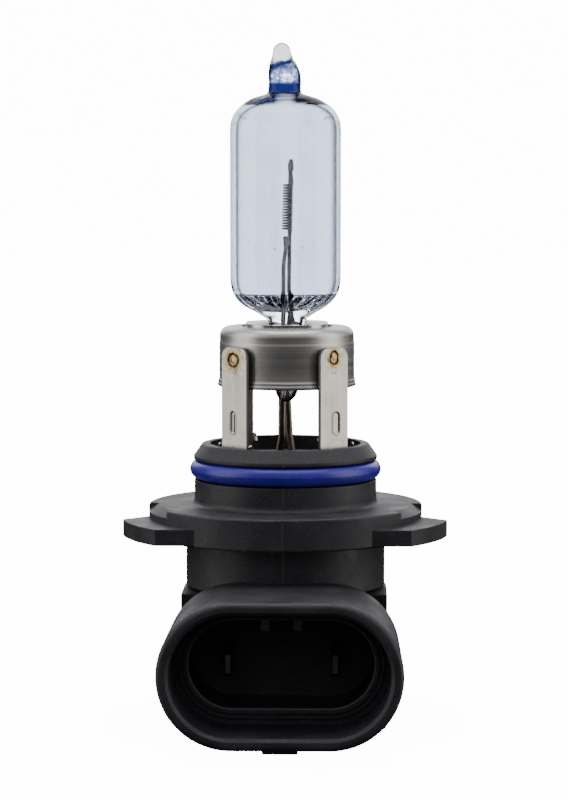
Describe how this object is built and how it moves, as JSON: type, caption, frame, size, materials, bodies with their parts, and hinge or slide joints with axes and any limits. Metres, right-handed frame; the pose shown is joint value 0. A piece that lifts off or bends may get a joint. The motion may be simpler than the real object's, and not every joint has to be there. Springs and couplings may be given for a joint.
{
  "type": "headlight bulb",
  "caption": "Right-angle halogen headlamp bulb with a tinted glass capsule, steel frame, blue seal ring and a twist-lock base with an oval plug socket.",
  "frame": {"origin": "on the bulb's axis, on the flange's seating face", "axes": "+Z along the bulb's axis towards the glass tip, -Y out of the socket, +X to the right seen from the socket side"},
  "size_m": [0.0346, 0.0436, 0.0728],
  "materials": {
    "tinted_quartz": "clear, faint blue tint",
    "tungsten": "drawn wire, dark",
    "lead_metal": "drawn wire, satin",
    "foil_metal": "matte foil",
    "outer_lead_metal": "dark oxidised wire",
    "satin_stainless": "brushed around",
    "clip_steel": "bright spring strip",
    "frame_steel": "brushed, warm grey",
    "weld_metal": "heat tinted",
    "seal_rubber": "smooth, satin",
    "base_plastic": "fine moulded grain",
    "sealing_compound": "cast, semi-matte",
    "terminal_brass": "tinned, satin",
    "cover_plastic": "fine moulded grain"
  },
  "bodies": {
    "root": {"glass_capsule": "tinted_quartz", "filament_coil": "tungsten", "lower_filament_crimp": "lead_metal", "upper_filament_crimp": "lead_metal", "long_inner_lead": "lead_metal", "short_inner_lead": "lead_metal", "rear_seal_foil": "foil_metal", "front_seal_foil": "foil_metal", "rear_outer_lead": "outer_lead_metal", "front_outer_lead": "outer_lead_metal", "retaining_collar": "satin_stainless", "pinch_clip": "clip_steel", "support_frame": "frame_steel", "leg_welds": "weld_metal", "seal_ring": "seal_rubber", "base_housing": "base_plastic", "lead_seal": "sealing_compound", "left_terminal": "terminal_brass", "right_terminal": "terminal_brass", "terminal_welds": "weld_metal", "rear_cover": "cover_plastic"}
  },
  "joints": []
}
